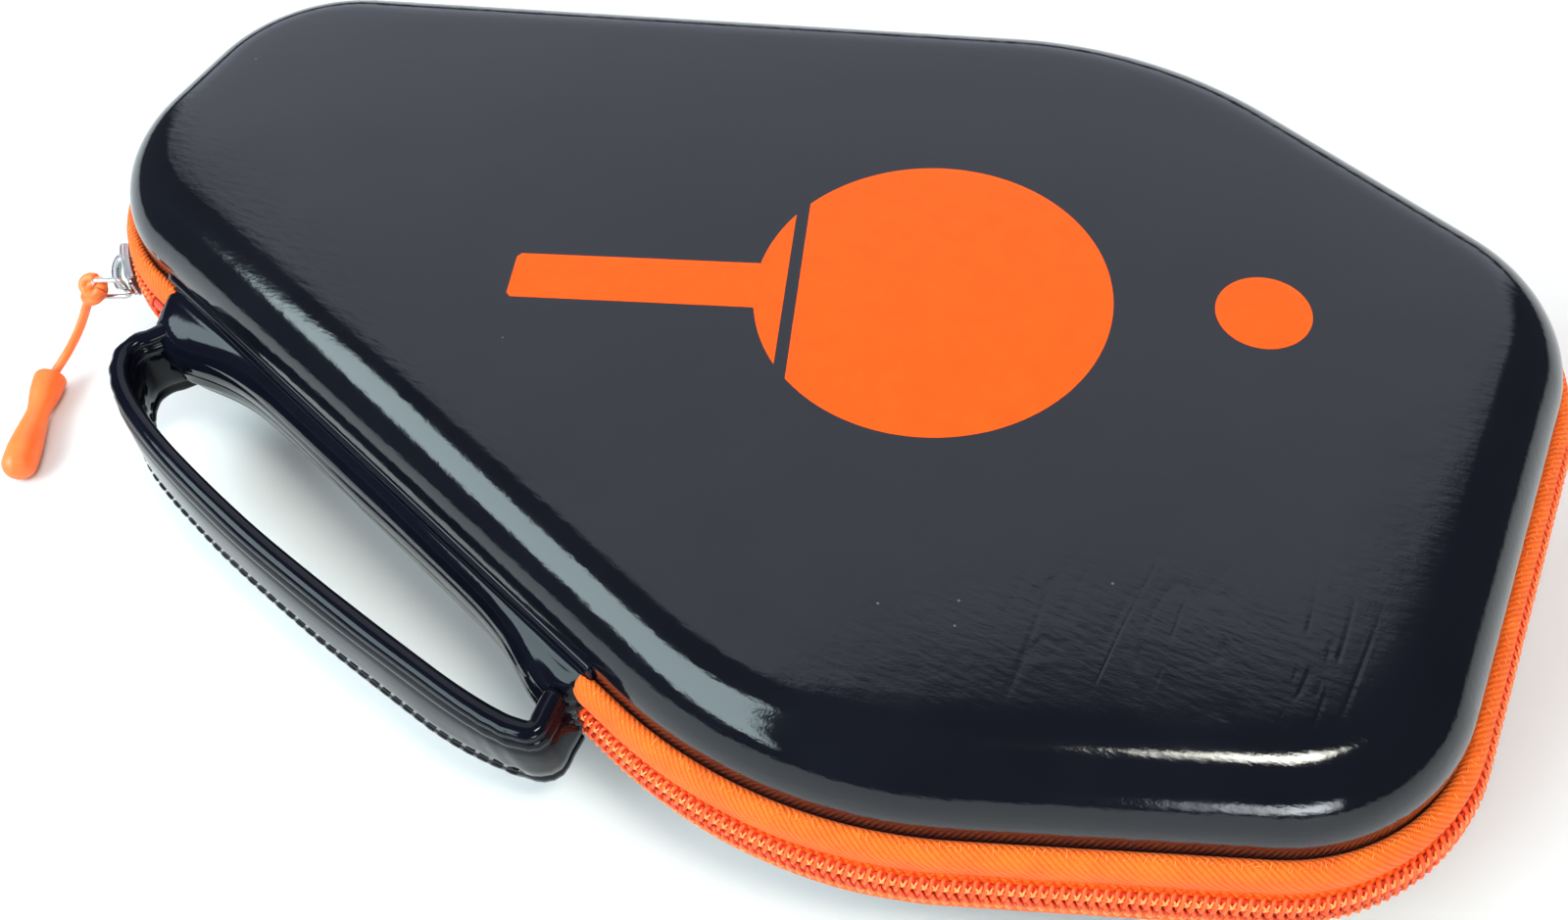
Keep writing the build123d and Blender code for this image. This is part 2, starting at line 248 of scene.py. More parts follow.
def skin(name, rows, ring=False, tips=()):
    """Closed skin over rows of points.

    Rows are closed sections of a bar with capped ends, or of a ring. With two tips they are
    open, stand around, and their ends meet in the tips.
    """
    height = len(rows)
    width = len(rows[0])
    points = [p for row in rows for p in row]
    uvs = []
    along = 0.0
    for i, row in enumerate(rows):
        if i:
            along += (row[width // 2] - rows[i - 1][width // 2]).length
        across = 0.0
        for j, p in enumerate(row):
            if j:
                across += (p - row[j - 1]).length
            uvs.append((along, across))
    faces = grid_faces(height, width, ring or bool(tips), not tips)
    if not ring and not tips:
        faces.append(tuple(range(width)))
        faces.append(tuple(range((height - 1) * width, height * width)))
    for tip, column in zip(tips, (0, width - 1)):
        points.append(tip)
        uvs.append((0, 0))
        for i in range(height):
            faces.append((i * width + column, (i + 1) % height * width + column, len(points) - 1))
    return outside_out(make_mesh(name, points, faces, uvs))


def along_rim(name, places, section_at, is_lid=True, ring=False):
    """Closed section of (out, z) pairs, drawn for the lid by its place, carried round the rim."""
    rows = [
        [rim.point(place, out, z) for out, z in in_half(section_at(place), is_lid)]
        for place in places
    ]
    return skin(name, rows, ring)


def in_half(points, is_lid):
    """Points whose last number is a height, drawn for the lid, or mirrored for the base."""
    return points if is_lid else [type(p)((*p[:-1], 2 * zip_z - p[-1])) for p in points]


def tubes(name, lines, radius, sides=6, flat=1.0):
    """One object of tubes along lines. flat above 1 makes them wider one way."""
    points = []
    faces = []
    for line in lines:
        base = len(points)
        count = len(line)
        normal = None
        for i, here in enumerate(line):
            ahead = (line[min(i + 1, count - 1)] - line[max(i - 1, 0)]).normalized()
            if normal is None:
                normal = ahead.orthogonal().normalized()
            normal = (normal - ahead * normal.dot(ahead)).normalized()
            side = ahead.cross(normal)
            for turn in [2 * math.pi * k / sides for k in range(sides)]:
                points.append(here + normal * radius * math.cos(turn) + side * radius * flat * math.sin(turn))
        walls = grid_faces(count, sides, close_columns=True)
        ends = [range(sides)[::-1], range((count - 1) * sides, count * sides)]
        faces += [tuple(base + index for index in face) for face in walls + ends]
    return outside_out(make_mesh(name, points, faces))


def bspline(points, count):
    """Quadratic B-spline, held at both ends, through count evenly spaced parameters."""
    points = [Vector(p) for p in points]
    spans = len(points) - 2
    joints = [points[0], *[a.lerp(b, 0.5) for a, b in zip(points[1:], points[2:-1])], points[-1]]
    made = []
    for i in range(count):
        t = spans * i / (count - 1)
        k = min(spans - 1, int(t))
        leaving = joints[k].lerp(points[k + 1], t - k)
        arriving = points[k + 1].lerp(joints[k + 1], t - k)
        made.append(leaving.lerp(arriving, t - k))
    return made


def even_steps(points, step):
    """The same line with points an even step apart."""
    lengths = [0.0]
    for before, here in zip(points, points[1:]):
        lengths.append(lengths[-1] + (here - before).length)
    made = []
    index = 0
    for goal in spaced(0.0, lengths[-1], step):
        while index < len(points) - 2 and lengths[index + 1] < goal:
            index += 1
        span = lengths[index + 1] - lengths[index]
        made.append(points[index].lerp(points[index + 1], (goal - lengths[index]) / span))
    return made


# ---- materials ----
class Shader:
    """A material's node tree, with short calls for the kinds of node used here."""

    def __init__(self, name, **sockets):
        self.material = bpy.data.materials.new(name)
        self.material.use_nodes = True
        self.tree = self.material.node_tree
        self.surface = self.tree.nodes["Principled BSDF"]
        for socket, value in sockets.items():
            self.surface.inputs[socket.replace("_", " ")].default_value = value
        where = self.node("TexCoord").outputs
        self.place = where["Object"]
        self.uv = where["UV"]
        self.last_bump = None

    def node(self, kind, **settings):
        made = self.tree.nodes.new("ShaderNode" + kind)
        for key, value in settings.items():
            setattr(made, key, value)
        return made

    def put(self, socket, value):
        if isinstance(value, bpy.types.NodeSocket):
            self.tree.links.new(value, socket)
        else:
            socket.default_value = value

    def roughness(self, value):
        self.put(self.surface.inputs["Roughness"], value)

    def attribute(self, name):
        return self.node("Attribute", attribute_name=name).outputs["Fac"]

    def math(self, operation, first, second=0.0):
        made = self.node("Math", operation=operation)
        self.put(made.inputs[0], first)
        self.put(made.inputs[1], second)
        return made.outputs[0]

    def noise(self, size_mm, detail=2.0, stretch=(1, 1, 1), source=None, turn=0.0):
        """Noise with features of about a size in millimetres."""
        mapping = self.node("Mapping")
        self.put(mapping.inputs["Vector"], source or self.place)
        mapping.inputs["Scale"].default_value = stretch
        mapping.inputs["Rotation"].default_value = (0, 0, math.radians(turn))
        made = self.node("TexNoise")
        made.inputs["Scale"].default_value = 1000 / size_mm if source is None else 1 / size_mm
        made.inputs["Detail"].default_value = detail
        self.put(made.inputs["Vector"], mapping.outputs[0])
        return made.outputs["Fac"]

    def ribs(self, pitch, angle):
        """Parallel ribs over the UVs, which are millimetres: 0 to 1, by pitch and direction."""
        dot = self.node("VectorMath", operation="DOT_PRODUCT")
        self.put(dot.inputs[0], self.uv)
        turn = math.radians(angle)
        wave = 2 * math.pi / pitch
        dot.inputs[1].default_value = (wave * math.cos(turn), wave * math.sin(turn), 0)
        return self.range(self.math("SINE", dot.outputs["Value"]), 0.0, 1.0, -1.0, 1.0)

    def range(self, value, low, high, start=0.0, end=1.0):
        """A value from start to end, brought to low to high and held there."""
        made = self.node("MapRange")
        self.put(made.inputs["Value"], value)
        for socket, bound in (("From Min", start), ("From Max", end), ("To Min", low), ("To Max", high)):
            made.inputs[socket].default_value = bound
        return made.outputs["Result"]

    def colour(self, factor, *stops):
        """Base colour by a ramp of (place, colour)."""
        ramp = self.node("ValToRGB")
        while len(ramp.color_ramp.elements) < len(stops):
            ramp.color_ramp.elements.new(0.5)
        for element, (place, shade) in zip(ramp.color_ramp.elements, stops):
            element.position = place
            element.color = (*shade, 1)
        self.put(ramp.inputs["Fac"], factor)
        self.put(self.surface.inputs["Base Color"], ramp.outputs["Color"])

    def bump(self, height, depth_mm, strength=1.0):
        """Add relief of a depth in millimetres."""
        made = self.node("Bump")
        made.inputs["Strength"].default_value = strength
        made.inputs["Distance"].default_value = depth_mm * MM
        self.put(made.inputs["Height"], height)
        if self.last_bump:
            self.put(made.inputs["Normal"], self.last_bump)
        self.last_bump = made.outputs["Normal"]
        self.put(self.surface.inputs["Normal"], self.last_bump)


def patent_gloss(shader, flat_roughness):
    """Cloudy roughness of patent skin, higher where it lies flat."""
    gloss = shader.range(shader.noise(9, 3), 0.05, 0.1, 0.3, 0.7)
    flat = shader.range(shader.attribute("flat"), 0.0, flat_roughness)
    shader.roughness(shader.math("ADD", gloss, flat))


def patent_material(name, flat_roughness, ior):
    """Black patent skin: fine grain, a slow orange-peel wave, and a duller flat panel."""
    shader = Shader(name, IOR=ior)
    shader.colour(shader.noise(14, 4), (0.3, (0.0025, 0.003, 0.006)), (0.7, (0.004, 0.0045, 0.009)))
    patent_gloss(shader, flat_roughness)
    shader.bump(shader.noise(5.0, 2), 0.09, 0.3)
    shader.bump(shader.noise(0.9, 3), 0.014, 0.5)
    return shader.material


def lid_panel_material():
    """The lid's patent skin, with dust, and with creases where the attribute "creased" is set."""
    shader = Shader("patent_lid", IOR=1.43)
    tone = shader.range(shader.noise(20, 5), 0.0, 0.6)
    speck = shader.node("TexVoronoi", feature="F1")
    speck.inputs["Scale"].default_value = 150.0
    shader.put(speck.inputs["Vector"], shader.place)
    dust = shader.math("LESS_THAN", speck.outputs["Distance"], 0.035)
    rare = shader.math("GREATER_THAN", shader.noise(23, 1), 0.61)
    shader.colour(
        shader.math("ADD", tone, shader.math("MULTIPLY", dust, rare)),
        (0.15, (0.003, 0.0035, 0.006)),
        (0.5, (0.005, 0.0055, 0.009)),
        (0.95, (0.07, 0.07, 0.08)),
    )
    patent_gloss(shader, 0.08)
    creased = shader.attribute("creased")
    shader.bump(shader.noise(6.0, 2), 0.1, 0.3)
    shader.bump(shader.noise(1.2, 4, (0.35, 1.0, 1.0), turn=-20), 0.05, 0.75)
    shader.bump(shader.noise(0.45, 3), 0.012, 0.6)
    for size, turn, threshold in ((22.0, 42, 0.42), (15.0, 56, 0.44), (26.0, 26, 0.42), (12.0, 38, 0.45)):
        field = shader.noise(size, 1, (1.0, 0.16, 1.0), turn=turn)
        from_middle = shader.math("ABSOLUTE", shader.math("SUBTRACT", field, 0.5))
        crease = shader.range(from_middle, -1.0, 0.0, 0.0, 0.02)
        patches = shader.noise(size * 0.7, 1, turn=turn + 20)
        here = shader.range(patches, 0.0, 1.0, threshold, threshold + 0.1)
        shader.bump(shader.math("MULTIPLY", shader.math("MULTIPLY", crease, creased), here), 0.035, 0.9)
    return shader.material


def cloth_material(name, dark, light, pitch, angle, depth, rough=0.75, sheen=0.3, fine=0.4):
    """Woven tape: diagonal or cross ribs, fine threads and uneven dye, with painted shade in the grooves of
    the ribs and threads.
    """
    shader = Shader(name, Roughness=rough, Sheen_Weight=sheen, Sheen_Roughness=0.4)
    ribs = shader.ribs(pitch, angle)
    threads = shader.ribs(fine, angle - 75)
    uneven = shader.noise(6, 3)
    # painted shade: the colour is darker where the ribs and threads dip into grooves, on top of the uneven dye
    dye_and_groove_shade = shader.math("ADD", shader.math("MULTIPLY", ribs, 0.4), shader.math("MULTIPLY", uneven, 0.5))
    dye_and_groove_shade = shader.math("ADD", dye_and_groove_shade, shader.math("MULTIPLY", threads, 0.25))
    shader.colour(dye_and_groove_shade, (0.15, dark), (0.8, light))
    shader.bump(ribs, depth, 0.9)
    shader.bump(threads, depth * 0.35, 0.7)
    shader.bump(shader.noise(0.25, 2), depth * 0.3, 0.5)
    return shader.material


def grain_material(name, dark, light, rough_low, rough_high, size=1.2, depth=0.03, **sockets):
    """Moulded, cast or spun material with a slow tone change and a fine surface."""
    shader = Shader(name, **sockets)
    shader.colour(shader.noise(size * 6, 4), (0.3, dark), (0.7, light))
    shader.roughness(shader.range(shader.noise(size, 3), rough_low, rough_high, 0.3, 0.7))
    shader.bump(shader.noise(size * 0.5, 3), depth, 0.5)
    return shader.material


def net_material():
    """Open diamond net: threads are solid and the holes are clear."""
    shader = Shader("net", Roughness=0.8)
    thread = None
    for angle in (50, -50):
        line = shader.range(shader.ribs(2.4, angle), 0.0, 1.0, 0.93, 0.97)
        thread = line if thread is None else shader.math("MAXIMUM", thread, line)
    shader.colour(shader.noise(3, 2), (0.3, (0.012, 0.012, 0.014)), (0.7, (0.03, 0.03, 0.034)))
    shader.put(shader.surface.inputs["Alpha"], thread)
    return shader.material


PATENT = patent_material("patent", 0.12, 1.43)
PATENT_SOFT = patent_material("patent_soft", 0.0, 1.27)
PATENT_LID = lid_panel_material()
TWILL = cloth_material(
    "orange_twill", (0.62, 0.045, 0.001), (1.0, 0.165, 0.003), 0.9, 42, 0.16, 0.85, 0.05, 0.42
)
COIL = grain_material("orange_coil", (0.9, 0.065, 0.006), (1.0, 0.11, 0.012), 0.3, 0.45, 0.8, 0.02)
COIL_CORE = cloth_material("coil_cord", (0.5, 0.02, 0.004), (0.7, 0.04, 0.006), 0.5, 60, 0.05)
PALE_THREAD = grain_material("pale_thread", (1.0, 0.22, 0.05), (1.0, 0.34, 0.11), 0.4, 0.6, 0.5, 0.02)
METAL = grain_material(
    "nickel", (0.5, 0.5, 0.49), (0.68, 0.68, 0.67), 0.24, 0.4, 1.5, 0.006, Metallic=1.0
)
SILICONE = grain_material(
    "silicone", (0.95, 0.14, 0.02), (1.0, 0.2, 0.035), 0.38, 0.5, 1.2, 0.02,
    Subsurface_Weight=0.25, Subsurface_Scale=0.003, Subsurface_Radius=(1.0, 0.4, 0.2),
)
LINING = cloth_material("lining_knit", (0.008, 0.008, 0.01), (0.026, 0.026, 0.03), 1.1, 45, 0.12, 0.8, 0.1)
GROSGRAIN = cloth_material("grosgrain", (0.006, 0.006, 0.008), (0.028, 0.028, 0.032), 0.8, 0, 0.12, 0.8, 0.1)
ELASTIC = cloth_material("elastic", (0.006, 0.006, 0.008), (0.04, 0.04, 0.045), 1.1, 90, 0.16, 0.8, 0.1)
NET = net_material()
THREAD = grain_material("black_thread", (0.008, 0.008, 0.01), (0.03, 0.03, 0.035), 0.45, 0.6, 0.4, 0.02)
PRINT = grain_material(
    "orange_print", (0.82, 0.07, 0.001), (0.86, 0.078, 0.001), 0.35, 0.45, 0.6, 0.008, IOR=1.25
)


def dress(obj, material, body, slot_name, *replaced):
    """Give a piece its material and its body if it rides on one, and hide the parts it stands for. slot_name
    is not used.
    """
    obj.data.materials.clear()
    obj.data.materials.append(material)
    if body:
        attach(obj, body)
    if replaced:
        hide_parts(*replaced)


# ---- camera ----
azimuth = 32.13
roll = math.radians(-6.045)
back = sky_direction(azimuth - 90, 54.56)
level = sky_direction(azimuth, 0)
rise = back.cross(level)
right = level * math.cos(roll) + rise * math.sin(roll)
up = rise * math.cos(roll) - level * math.sin(roll)
camera_data = bpy.data.cameras.new("camera")
camera_data.lens = 32.85
camera_data.clip_start = 0.01
camera = add_object("camera", camera_data)
camera.matrix_world = Matrix.Translation((0.1038, -0.1610, 0.2521)) @ (
    Matrix((right, up, back)).transposed().to_4x4()
)
bpy.context.scene.camera = camera


# ---- puller: cord, grip and the knot round the ring ----
grip_top = Vector((-155.4, -61.6, 3.75))
grip_axis = sky_direction(297.8, 0)
cord_points = [Vector(point) for point in (
    (-142.2, -48.4, 25.4), (-145.6, -50.0, 19.6), (-150.2, -52.3, 12.4), (-154.3, -56.0, 6.2),
    grip_top, grip_top + grip_axis * 4,
)]
cord_radius = 1.0
cord_curve = bpy.data.curves.new("puller_cord_line", "CURVE")
cord_curve.dimensions = "3D"
cord_spline = cord_curve.splines.new("NURBS")
cord_spline.points.add(len(cord_points) - 1)
for knot, place in zip(cord_spline.points, cord_points):
    knot.co = (*(place * MM), 1)
cord_spline.order_u = 3
cord_spline.use_endpoint_u = True
cord_spline.resolution_u = 24
cord_curve.bevel_depth = cord_radius * MM
cord_curve.bevel_resolution = 6
cord_curve.use_fill_caps = True
puller_line = add_object("puller_line", cord_curve)
dress(puller_line, SILICONE, "puller", "orange_rubber", "puller_cord")


def grip_radius_at(along):
    """Radius of the grip behind its collar: in to the waist, out to the bulb, round at its end."""
    collar = 3.35
    waist = 2.35
    bulb = 3.65
    neck = collar + (waist - collar) * smoothstep(3.6, 11.0, along)
    body = neck + (bulb - waist) * smoothstep(8.0, 22.0, along)
    tail = max(0.0, (along - 24.3) / 3.7)
    return body * math.sqrt(max(0.0, 1 - tail**2))


grip_profile = [(0.0, 1.1), (0.0, 3.1), (0.06, 3.3), (0.3, 3.45), (1.2, 3.5), (2.9, 3.45), (3.3, 3.38)]
grip_profile += [(along, grip_radius_at(along)) for along in spaced(3.6, 27.9, 0.6)]
grip_side = grip_axis.orthogonal().normalized()
grip_other = grip_axis.cross(grip_side)
grip_piece = skin("puller_grip_body", [
    [
        grip_top + grip_axis * along + (grip_side * math.cos(t) + grip_other * math.sin(t)) * radius
        for t in [2 * math.pi * k / 40 for k in range(40)]
    ]
    for along, radius in grip_profile
])
dress(grip_piece, SILICONE, "puller", "orange_rubber", "puller_grip")

ring_low, ring_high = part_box("puller_loop")
ring_far = (ring_low + ring_high) / 2 / MM + Vector((-0.4, -0.2, 0.0))
knot_lines = [
    [
        ring_far + Vector((
            math.cos(turn) * size - 0.9 * lean,
            math.sin(turn) * size * 0.85 - 0.4 * lean,
            -1.5 * lean + 0.9 * math.sin(turn + 0.8),
        ))
        for turn in [2 * math.pi * k / 32 for k in range(33)]
    ]
    for lean, size in ((0.0, 1.9), (0.9, 2.3))
]
knot_lines.append(bspline([
    ring_far + Vector((-1.2, 1.9, 0.8)), ring_far + Vector((-3.3, 1.5, 0.9)),
    ring_far + Vector((-3.6, -0.6, -0.4)), cord_points[0], cord_points[0].lerp(cord_points[1], 0.4),
], 20))
puller_knot = tubes("puller_knot", knot_lines, 1.2, 14)
dress(puller_knot, SILICONE, "puller", "orange_rubber", "puller_loop")
bpy.context.view_layer.update()


# ---- shells ----
shell_places = spaced(rim.start, rim.start + rim.length, 2.0, both=False)
panel_centre = Vector((14.0, 0.0, 0.0))


def panel_spoke(edge, count, height_at):
    """Points from the edge of a panel towards its middle, each at its own height."""
    made = []
    for k in range(1, count):
        here = edge.lerp(panel_centre, k / count)
        made.append(Vector((here.x, here.y, height_at(here.x, here.y))))
    return made


def outer_height(x, y):
    return panel_z(inset_of(x, y))


def inner_spoke(place, inset, radius, ceiling, arc_steps, count, height_at):
    """Points of an inside face: round the corner of wall and ceiling, then to the middle."""
    made = []
    for k in range(arc_steps + 1):
        turn = math.radians(90 * k / arc_steps)
        made.append(rim.point(
            place, -inset - radius * (1 - math.cos(turn)), ceiling - radius * (1 - math.sin(turn))
        ))
    return made + panel_spoke(rim.point(place, -inset - radius, ceiling), count, height_at)


shell_ceiling = 2 * zip_z - wall_thickness


def lid_shell_row(place):
    """Points of the lid's shell, from the middle of its top, over the wall, and back inside."""
    rim_low = zip_z + rim_gap
    edge = rim.point(place, -(wall_inset + wall_radius), 0)
    row = panel_spoke(edge, 26, outer_height)[::-1]
    row.append(Vector((edge.x, edge.y, panel_z(wall_inset + wall_radius))))
    for k in range(1, 15):
        turn = math.radians(90 - 90 * k / 14)
        inset = wall_inset + wall_radius * (1 - math.cos(turn))
        row.append(rim.point(place, -inset, panel_z(inset)))
    for height in (36.0, 33.0, rim_low + 0.4, rim_low):
        row.append(rim.point(place, -wall_inset - (0.2 if height == rim_low else 0), height))
    inner = wall_inset + wall_thickness
    row += [rim.point(place, -inner, height) for height in (rim_low, 36.0)]
    return row + inner_spoke(
        place, inner, wall_radius - wall_thickness, shell_ceiling, 6, 4, lambda x, y: shell_ceiling
    )


def add_attributes(obj, creased_centre=None):
    """Set how flat the skin lies, and how creased, for its material."""
    flat = obj.data.attributes.new("flat", "FLOAT", "POINT")
    creased = obj.data.attributes.new("creased", "FLOAT", "POINT")
    for index, vertex in enumerate(obj.data.vertices):
        x, y, _ = vertex.co / MM
        inset = inset_of(x, y)
        flat.data[index].value = smoothstep(wall_inset + 9, wall_inset + 19, inset)
        if creased_centre:
            reach = math.hypot((x - creased_centre[0]) / 1.5, y - creased_centre[1])
            creased.data[index].value = (1 - smoothstep(10, 30, reach)) * smoothstep(14, 20, inset)


def two_dishes(name, rows, top, ceiling):
    """The lid's and the base's piece from the lid's rows and the heights of its two tips."""
    tips = [Vector((panel_centre.x, 0, height)) for height in (top, ceiling)]
    for body, is_lid in HALVES[::-1]:
        half_rows = [in_half(row, is_lid) for row in rows]
        yield body, skin(f"{body}_{name}", half_rows, tips=in_half(tips, is_lid))


shell_rows = [lid_shell_row(place) for place in shell_places]
for body, shell in two_dishes("skin", shell_rows, outer_height(panel_centre.x, 0), shell_ceiling):
    add_attributes(shell, (102, -47) if body == "lid" else None)
    dress(shell, PATENT_LID if body == "lid" else PATENT, body, "patent_skin", f"{body}_shell")


# ---- linings, bindings ----
lining_ceiling = 2 * zip_z - lining_floor
lining_thickness = 0.5


def lining_height(x, y):
    """Height of the lid's lining over its middle, where it is a little uneven."""
    return lining_ceiling - 0.25 * (0.5 + 0.5 * noise.noise(Vector((x / 21, y / 21, 0.0))))


def lining_face(place, grow, height_at):
    """Points of one face of the lid's lining, grow millimetres outside its inner face."""
    inset = lining_inset - grow
    foot = rim.point(place, -inset, zip_z + rim_gap + 0.3)
    return [foot] + inner_spoke(
        place, inset, lining_radius + grow, lining_ceiling + grow, 7, 22, height_at
    )


def lay_weave_flat(obj):
    """Weave runs straight across a lining's floor and up its walls."""
    layer = obj.data.uv_layers["UVMap"]
    for loop in obj.data.loops:
        x, y, z = obj.data.vertices[loop.vertex_index].co / MM
        layer.data[loop.index].uv = (x + 0.4 * z, y + 0.8 * z)


lining_top = lining_ceiling + lining_thickness
lining_rows = [
    lining_face(place, lining_thickness, lambda x, y: lining_top)[::-1]
    + lining_face(place, 0.0, lining_height)
    for place in shell_places
]
for body, lining in two_dishes("lining_knit", lining_rows, lining_top, lining_ceiling - 0.1):
    lay_weave_flat(lining)
    dress(lining, LINING, body, "lining", f"{body}_lining")

binding_section = [
    (-5.0, 29.9), (-5.05, 29.3), (-5.5, 29.12), (-7.5, 29.1), (-9.8, 29.12), (-10.35, 29.4),
    (-10.42, 30.5), (-10.45, 34.0), (-10.4, 37.2), (-10.15, 37.5), (-9.85, 37.3), (-9.85, 30.4),
    (-9.6, 29.95), (-7.5, 29.9),
]
seam_out = -10.6
seam_z = 35.9
seam_pitch = 3.0
seam_lines = [
    [rim.point(place + shift, seam_out - sink, seam_z) for shift, sink in ((-1.1, 0), (0, 0.18), (1.1, 0))]
    for place in spaced(rim.start, rim.start + rim.length, seam_pitch, both=False)
]
for body, is_lid in HALVES:
    binding = along_rim(
        f"{body}_binding_tape", shell_places, lambda place: binding_section, is_lid, ring=True
    )
    dress(binding, GROSGRAIN, body, "binding", f"{body}_rim_binding")
    seam = tubes(f"{body}_binding_stitches", [in_half(line, is_lid) for line in seam_lines], 0.22)
    dress(seam, THREAD, body, "thread")


# ---- zip bands ----
chain_places = spaced(zip_end, zip_end + chain_length, 1.2)


def stand_out(place):
    """How much further the chain bulges towards the wide end of the case."""
    return 0.75 * smoothstep(0.0, 80.0, rim.at(place)[0].x)


def band_section(place):
    """Rolled tape of the lid: convex outside, its upper edge tucked against the wall."""
    puff = 0.16 * noise.noise(Vector((place / 17, 3.1, 0))) + 0.06 * noise.noise(Vector((place / 5, 9, 0)))
    lift = 0.22 * noise.noise(Vector((place / 23, 0, 5.5)))
    return [
        (wall_face, 30.15), (-3.4, 30.0), (-2.3, 29.9), (-1.7, 30.0), (-1.32 + puff, 30.6),
        (-1.16 + puff, 31.5), (-1.12 + puff, 32.6), (-1.2 + puff, 33.7), (-1.5 + puff, 34.8),
        (-2.0, 35.7 + lift), (-2.7, 36.45 + lift), (-3.5, 36.8 + lift), (-4.2, 36.7 + lift),
        (-4.75, 36.1 + lift), (wall_face, 35.0),
    ]


def lower_band_section(place):
    """Rolled tape of the base, drawn for the lid. It stands out a little further than the lid's."""
    extra = 0.6 + 0.8 * stand_out(place)
    other_part = place + 300    # so that its waves differ from the lid's
    return [(out + extra * smoothstep(wall_face, -2.0, out), z) for out, z in band_section(other_part)]


def fray_lines():
    """Loose fibre ends along the band's tucked edge."""
    lines = []
    for place in spaced(zip_end + 1, zip_end + chain_length - 1, 1.1):
        start = place + random.uniform(-0.3, 0.3)
        lean = random.uniform(-0.5, 0.7)
        length = random.uniform(0.25, 0.65)
        foot = rim.point(start, -2.5 - random.uniform(0, 1.2), 36.75)
        tip = rim.point(start + lean, -2.6 - random.uniform(0.2, 1.4), 36.85 + length)
        lines.append([foot, foot.lerp(tip, 0.5) + Vector((0, 0, 0.08)), tip])
    return lines


for body, is_lid in HALVES:
    band = along_rim(f"{body}_band", chain_places, band_section if is_lid else lower_band_section, is_lid)
    dress(band, TWILL, body, "orange_twill", f"{body}_zip_tape")
    fray = tubes(f"{body}_band_fibres", [in_half(line, is_lid) for line in fray_lines()], 0.06, 4)
    dress(fray, PALE_THREAD, body, "orange_twill")


# ---- zip coils ----
tooth_pitch = 1.7
teeth = round(chain_length / tooth_pitch)
tooth_step = tooth_pitch * 0.99     # a little closer, so that the row ends inside the spine
coil_out = -0.75
coil_z = zip_z + 1.87
coil_half_depth = 0.62
coil_half_height = 1.32
coil_wire = 0.42
core_height = 1.75          # of the cord inside the coil, from the zip plane


def coil_lean(height, is_lid, place):
    """How far a row of teeth stands out, by height from the zip plane: most beside the plane."""
    tilt, shift = (0.55, 0.0) if is_lid else (0.2, 0.35)
    return stand_out(place) + coil_out + (core_height - height) * tilt + shift


def coil_point(turn, is_lid):
    """Point of a row of teeth, drawn as the lid's, by its turns from the start of the chain."""
    angle = 2 * math.pi * turn
    place = zip_end + 1.6 + (turn + (0.0 if is_lid else 0.5)) * tooth_step
    rise = coil_half_height * math.sin(angle)
    out = coil_lean(coil_z - zip_z + rise, is_lid, place) + coil_half_depth * math.cos(angle)
    return rim.point(place, out, coil_z + rise)


def core_section(place, is_lid):
    """Cord inside a row of teeth."""
    made = []
    for angle in [math.pi * k / 4 for k in range(8)]:
        out = coil_lean(core_height + math.sin(angle), is_lid, place) + 0.35 * math.cos(angle)
        made.append((out, coil_z + math.sin(angle)))
    return made


def chain_tape_section(place):
    """Woven tape behind the teeth."""
    out = stand_out(place) - 1.5
    return [(-2.7, 28.6), (-1.9, 28.4), (out, 28.5), (out - 0.1, 29.2), (-2.1, 30.2), (-2.7, 30.2)]


def coil_stitches(is_lid):
    """Two slanted threads over each tooth."""
    made = []
    for k in range(teeth - 3):
        place = zip_end + 2.4 + k * tooth_step
        for first, last in ((1.75, 2.95), (2.7, 2.0)):
            stitch = []
            for share, raised in ((0.0, 0.62), (0.5, 1.08), (1.0, 0.62)):
                height = first + (last - first) * share
                out = coil_lean(height, is_lid, place) + raised
                stitch.append(rim.point(place + 1.1 * (share - 0.5), out, zip_z + height))
            made.append(in_half(stitch, is_lid))
    return made


for body, is_lid in HALVES:
    steps = 12
    line = [coil_point(k / steps, is_lid) for k in range((teeth - 2) * steps)]
    coil = tubes(f"{body}_coil", [in_half(line, is_lid)], coil_wire)
    dress(coil, COIL, body, "orange_coil", f"{body}_zip_coil")
    core = along_rim(
        f"{body}_coil_cord", chain_places, lambda place: core_section(place, is_lid), is_lid
    )
    dress(core, COIL_CORE, body, "orange_coil")
    threads = tubes(f"{body}_coil_stitches", coil_stitches(is_lid), 0.2, 5)
    dress(threads, PALE_THREAD, body, "orange_coil")
    tape = along_rim(f"{body}_chain_tape", chain_places, chain_tape_section, is_lid)
    dress(tape, TWILL, body, "orange_twill")
    dress(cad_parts[f"{body}_zip_stops"], METAL, None, "metal")


# ---- fabric spine ----
spine_overhang = 2.5        # how far the spine's mesh runs past spine_start and spine_end


def spine_section(distance):
    """Outer line of the spine's upper half, as (out, height) from its middle to the lid's wall."""
    to_end = min(distance - spine_start + spine_overhang, spine_end + spine_overhang - distance)
    close = math.sqrt(1 - (1 - min(1.0, max(0.0, to_end / 6.0))) ** 2)
    bulge = -0.4 + 6.6 * bump_at(distance, 41, 15) + 3.4 * bump_at(distance, 162, 12)
    pinch = bump_at(distance, spine_start, 8) + bump_at(distance, spine_end, 11)
    made = []
    for k in range(33):
        height = spine_wall_height * k / 32
        swell = math.sqrt(max(0.0, 1 - (height / 10.4) ** 2.6))
        margin = 0.75 * (1 - smoothstep(12.6, spine_wall_height, height))
        out = wall_face + max(margin, (bulge - wall_face) * swell * close)
        crease = 0.35 * bump_at(height, 4.6 + 0.7 * math.sin(distance / 17), 0.7)
        fold = pinch * 0.38 * math.sin(height * 1.9 + distance * 0.5 + 2 * math.sin(distance / 6))
        slow = 0.35 * noise.noise(Vector((distance / 30, height / 9, 2.0)))
        made.append((out + (fold + slow - crease) * swell * close, height))
    return made


